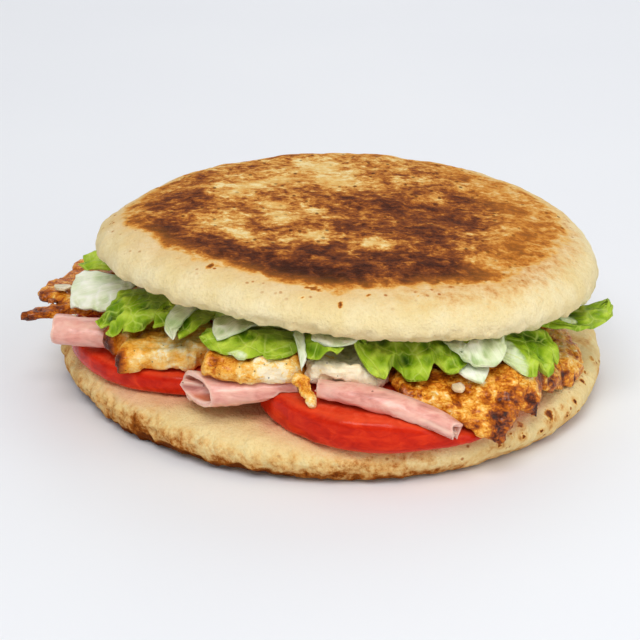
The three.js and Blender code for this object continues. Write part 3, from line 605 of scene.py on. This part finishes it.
def bottom_half():
    """The lower half: the griddled underside, the craggy side and the cut face with its juice stains."""
    piece = evened(welded("arepa_bottom"), BREAD_VOXEL, BREAD_RELAX)
    points, normals = points_of(piece)
    x, y, z = points.T
    up = normals[:, 2]
    turn = np.degrees(np.arctan2(y - BOTTOM_Y, x))
    ragged = bell((turn - RAGGED_TURN + 180) % 360 - 180, 0, RAGGED_SPREAD)
    under = smooth(up, -0.9, -0.98)
    cut = smooth(up, 0.6, 0.95) * smooth(z, 5, 8)
    side = 1 - cut
    relief = 0.3 + layered(points, 12, (10, 0.3), (3.2, 0.25), (1.5, 0.16))
    crags = layered(points, 16, (4, 0.4), (2.2, 0.35), (1.3, 0.16)) + 0.14 * ridges(points, 1.7, 18)
    pits = side * ragged * 0.6 * smooth(lumps(points, 2.8, 24), 0.2, 0.6)
    relief += side * (0.35 + 0.9 * ragged) * crags - pits
    # The face that it lies on stays flat.
    relief *= smooth(z, 0.0, 1.2)
    placed = emboss(piece, points, normals, relief)
    # Scorch marks and the glow round them, the browned foot and lower side, and a patchy cut face.
    marks = spotted(placed, BOTTOM_MARKS) * side
    glow = spotted(placed, [(*place, GLOW * radius) for *place, radius in BOTTOM_MARKS]) * side
    sear = under * np.clip(0.55 + 0.35 * lumps(points, 24, 17), 0.25, 1)
    foot = smooth(z + layered(points, 21, (5, 0.8), (2, 0.6)), 4.0, 2.0)
    slope = smooth(z, 11, 1)
    toast = side * (0.05 + (0.33 + 0.1 * ragged) * slope + 0.26 * ragged + 0.22 * lumps(points, 7, 19))
    toast += (0.13 + 0.37 * ragged) * foot
    toast += 0.3 * glow + cut * (0.06 + 0.34 * smooth(lumps(points, 9, 23), 0.25, 0.7))
    # Juice leaves uneven rings where the slices of tomato lie.
    uneven = 0.5 + 0.5 * lumps(points, 8, 20)
    stain = np.zeros(len(points))
    for node, radius in JUICE_RINGS.items():
        middle_x, middle_y, _ = TOMATOES[node]
        away = np.hypot(x - middle_x, y - middle_y)
        stain = np.maximum(stain, bell(away, radius, 4.5) * uneven)
    paint(
        piece,
        sear=np.maximum(sear, 0.85 * marks),
        toast=np.clip(toast, 0, 1.2),
        stain=stain * cut,
        specks=side * (1 - ragged),
    )
    look = bread_look("bread_bottom", ("f0dca4", "e6ca8e", "d2ac68"), "e29a80")
    dress(piece, "arepa_bottom", look)


# ---------------------------------------------------------------- fillings

# The middle of the lettuce bed, and the place that the leaves point away from: x and y in mm.
BED_X, BED_Y = 3, 5
LEAVES_X, LEAVES_Y = 4, 4

# Grilled chicken: how brown it is above and below, how brown at its sides, how mottled and how strongly its
# folds are painted with shade and highlight, and its darker and paler spots as (x, y, radius, weight) in
# mm.
CHICKEN = {
    "chicken_left": (0.22, 0.2, 0.5, [
        (-58, -31, 3, 0.6), (-55, -38.5, 3, 0.65), (-47, -28, 4, 0.16), (-40, -38, 4, -0.1),
    ]),
    "chicken_middle": (0.28, 0.22, 0.7, [
        (-29, -55, 4, 0.14), (-23, -58, 3, 0.08), (-10, -53, 5, 0.1), (-15, -57, 5, -0.2),
    ]),
    "chicken_white": (-0.14, -0.14, 0.6, [(-4, -50, 4, 0.25)]),
    "chicken_right": (0.47, 0.46, 0.95, [
        (40, -62, 3, 0.25), (43, -57, 2.5, 0.15), (49, -55, 2.5, 0.35), (46, -50, 3, -0.2),
        (52, -46, 2.5, 0.2), (61, -30, 2.5, 0.1), (24, -61, 3, -0.2), (50, -36, 4, -0.2),
        (58, -22, 8, -0.18), (32, -60, 4, -0.16), (37, -52, 5, -0.1), (58, -6, 7, -0.12),
    ]),
    "chicken_crisp": (0.44, 0.44, 0.9, [(-80, -12, 4, 0.3), (-78, -1, 3, 0.2), (-72, -9, 4, 0.15)]),
    "chicken_back": (0.42, 0.28, 1.0, []),
    "chicken_shred": (0.26, 0.22, 0.7, []),
}

# Pale parts of the leaves: (x, y, z, radius) in mm.
PALE_PARTS = {
    "leaf_right": [(40, -46, 25, 5), (43, -49, 24, 4), (37, -40, 28, 5)],
    "leaf_centre": [(-24, -57, 29, 3)],
    "leaf_tip_right": [(58, -26, 26, 3)],
}

# How strongly their folds curl the leaves.
LEAF_CURL = 0.8
# Ribs as (share of cream, curl): most of them, and those that differ.
PLAIN_RIB = (0.0, 0.35)
RIBS = {"rib_chip": (0.8, 0.35), "rib_scrap": (0.6, 0.35), "rib_right": (0.0, 0.9), "rib_left": (0.0, 0.5)}


def tomato(node, material, x, y, radius):
    """A slice of tomato, round in plan: flesh on its faces, a lighter core and skin at its edge."""
    piece = evened(welded(node), voxel=0.85, relax=3)
    points, normals = points_of(piece)
    emboss(piece, points, normals, 0.1 + layered(points, 31, (14, 0.2), (3, 0.06)))
    away = np.hypot(points[:, 0] - x, points[:, 1] - y)
    level = np.abs(normals[:, 2])
    face = smooth(level, 0.75, 0.93) * smooth(away, radius + 1, radius - 3)
    hem = smooth(level, 0.45, 0.75) * smooth(away, radius - 4, radius - 1)
    paint(piece, face=face, core=face * smooth(away, radius * 0.45, radius * 0.2), hem=hem)
    dress(piece, node, material)


def ham(node, material):
    """A rolled slice of ham, with painted shade on the insides of its turns."""
    piece = subdivided(welded(node, crease=0.8), levels=3)
    points, normals = points_of(piece)
    hem = hem_of(node, points, 1.0)
    relief = 0.2 * lumps(points, 5, 41) + 0.12 * ridges(points, 2.5, 42) - 0.12 * hem
    emboss(piece, points, normals, relief)
    # The more a point faces the middle of the roll, the more painted shade it gets.
    middle = (points.max(0) + points.min(0)) / 2
    facing = ((points - middle) * normals).sum(1)
    paint(piece, inner=smooth(facing, 0.5, -1.5), hem=hem)
    dress(piece, node, material)


def chicken(node, material, flat, side, contrast, spots):
    """A torn piece of grilled chicken, as `CHICKEN` describes it, folded and wrinkled."""
    piece = evened(welded(node), voxel=0.56, relax=3)
    points, normals = points_of(piece)
    folds = ridges(points, 3.6, 52)
    relief = 0.1 + layered(points, 54, (5, 0.4), (1.1, 0.16)) + 0.36 * folds
    relief += 0.26 * ridges(points, 1.7, 53)
    emboss(piece, points, normals, relief)
    up = normals[:, 2]
    level = np.maximum(smooth(up, 0.1, 0.7), 0.8 * smooth(up, -0.2, -0.8))
    # Crests of the folds are painted lighter and their hollows darker: painted highlight and painted shade.
    sear = side + (flat - side) * level + blots(points, spots) - 0.12 * contrast * folds
    paint(piece, sear=np.clip(sear, -0.3, 1.2), contrast=np.full(len(points), contrast))
    dress(piece, node, material)


def leaf(node, material, pale=(), cream=0.0, curl=LEAF_CURL):
    """A torn leaf or rib, curled by folds; `pale` lists pale spots as (x, y, z, radius) in mm."""
    piece = subdivided(welded(node, crease=0.7), levels=3)
    points, normals = points_of(piece)
    middle = points.mean(0)
    # Level directions on the leaf: outward from the filling, and across that.
    outward = (middle - (LEAVES_X, LEAVES_Y, 0)) * (1, 1, 0)
    outward /= np.linalg.norm(outward)
    across = (points - middle) @ np.array([-outward[1], outward[0], 0])
    along = (points - middle) @ outward
    # Folds curl it outward and up, and its hem waves with them and is thinner.
    hem = hem_of(node, points, 1.2)
    fold = 0.55 * ridges(points, 5.5, 61) + 0.45 * ridges(points, 2.8, 62)
    lift = (outward + (0, 0, 1)) * (0.6 * fold + 0.5 * hem * lumps(points, 2.2, 64))[:, None]
    skin = 0.08 * lumps(points, 1.3, 63) - 0.15 * hem
    emboss(piece, points + curl * lift, normals, skin)
    paint(
        piece,
        along=along,
        across=across,
        base=smooth(along, along.max(), along.min()),
        pale=spotted(points, pale),
        hem=hem,
        cream=np.full(len(points), cream),
        # Painted shade in the hollows of the folds and painted highlight on their crests.
        fold=0.55 + 0.35 * fold,
    )
    dress(piece, node, material)


def lettuce_bed(material):
    """The shredded lettuce between the halves, with pale bands across its shreds."""
    piece = subdivided(welded("lettuce_bed", crease=0.3), levels=2)
    points, normals = points_of(piece)
    relief = 0.5 * lumps(points, 6, 71) + 0.4 * ridges(points, 2.6, 72)
    emboss(piece, points, normals, relief)
    x, y = points[:, 0] - BED_X, points[:, 1] - BED_Y
    out = np.hypot(x, y)
    turn = np.degrees(np.arctan2(y, x))
    bands = 0.5 + 0.5 * lumps(np.outer(turn, (1, 0, 0)), 9, 73)
    paint(
        piece,
        along=out,
        across=turn,
        base=smooth(out, 62, 46),
        pale=smooth(bands, 0.55, 0.8) * 0.7,
        hem=np.zeros(len(points)),
        # Painted shade in the hollows of the relief and painted highlight on its bumps.
        fold=0.5 + 0.4 * relief,
    )
    dress(piece, "lettuce_bed", material)


def make_fillings():
    """Tomato, ham, chicken, the lettuce bed, and then every leaf and rib."""
    red = tomato_look()
    for node, round_plan in TOMATOES.items():
        tomato(node, red, *round_plan)
    pink = ham_look()
    for node in ("ham_roll_left", "ham_roll_middle", "ham_roll_right", "ham_roll_back"):
        ham(node, pink)
    brown = chicken_look()
    for node, searing in CHICKEN.items():
        chicken(node, brown, *searing)
    green, white = leaf_look(), rib_look()
    lettuce_bed(green)
    for node in sorted(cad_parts):
        if node.startswith("leaf_"):
            leaf(node, green, PALE_PARTS.get(node, ()))
        elif node.startswith("rib_"):
            cream, curl = RIBS.get(node, PLAIN_RIB)
            leaf(node, white, cream=cream, curl=curl)


# ---------------------------------------------------------------- camera, floor and light

# Lamps: name, place and size in metres, power in watts, and tint.
LAMPS = [
    ("key", (-0.25, -1.1, 1.5), 1.0, 21.0, (1.0, 0.985, 0.96)),
    ("fill", (0.7, -0.45, 0.45), 0.8, 2.8, (1.0, 0.99, 0.98)),
    ("rim", (0.1, 0.8, 0.6), 0.7, 1.8, (1.0, 1.0, 1.0)),
]


def aim(thing, at):
    """Turns a lamp or camera to face a point."""
    thing.rotation_mode = "QUATERNION"
    thing.rotation_quaternion = (Vector(at) - thing.location).to_track_quat("-Z", "Y")


def make_camera():
    """Looks down 21.5 degrees at the open front from 0.6 m."""
    target = Vector((-0.0037, 0, 0.0166))
    distance = 0.6019
    elevation = math.radians(21.48)
    camera = bpy.data.objects.new("camera", bpy.data.cameras.new("camera"))
    bpy.context.scene.collection.objects.link(camera)
    camera.location = target + distance * Vector((0, -math.cos(elevation), math.sin(elevation)))
    aim(camera, target)
    camera.data.sensor_width = 36
    camera.data.lens = 128.25
    camera.data.clip_start = 0.01
    bpy.context.scene.camera = camera


def make_floor():
    """A plain pale table top, 6 m wide."""
    bpy.ops.mesh.primitive_plane_add(size=6)
    floor = bpy.context.object
    floor.name = "floor"
    look = Look("floor")
    colour = look.ramp(look.noise(180, 2), (0.3, "e8eaef"), (0.7, "ebedf1"))
    floor.data.materials.append(look.done(colour, look.spread(look.noise(40, 2), 0, 1, 0.6, 0.7)))


def make_light():
    """A soft studio: a pale sky and three area lamps aimed at the food."""
    world = bpy.data.worlds.new("studio")
    bpy.context.scene.world = world
    world.use_nodes = True
    sky = world.node_tree.nodes["Background"]
    sky.inputs["Color"].default_value = (0.95, 0.97, 1.0, 1)
    sky.inputs["Strength"].default_value = 0.44
    for name, place, size, power, tint in LAMPS:
        lamp = bpy.data.objects.new(name, bpy.data.lights.new(name, "AREA"))
        bpy.context.scene.collection.objects.link(lamp)
        lamp.data.size = size
        lamp.data.energy = power
        lamp.data.color = tint
        lamp.location = place
        aim(lamp, (0, 0, 0.02))
    bpy.context.scene.view_settings.view_transform = "Standard"


make_camera()
make_floor()
make_light()
top_half()
bottom_half()
make_fillings()
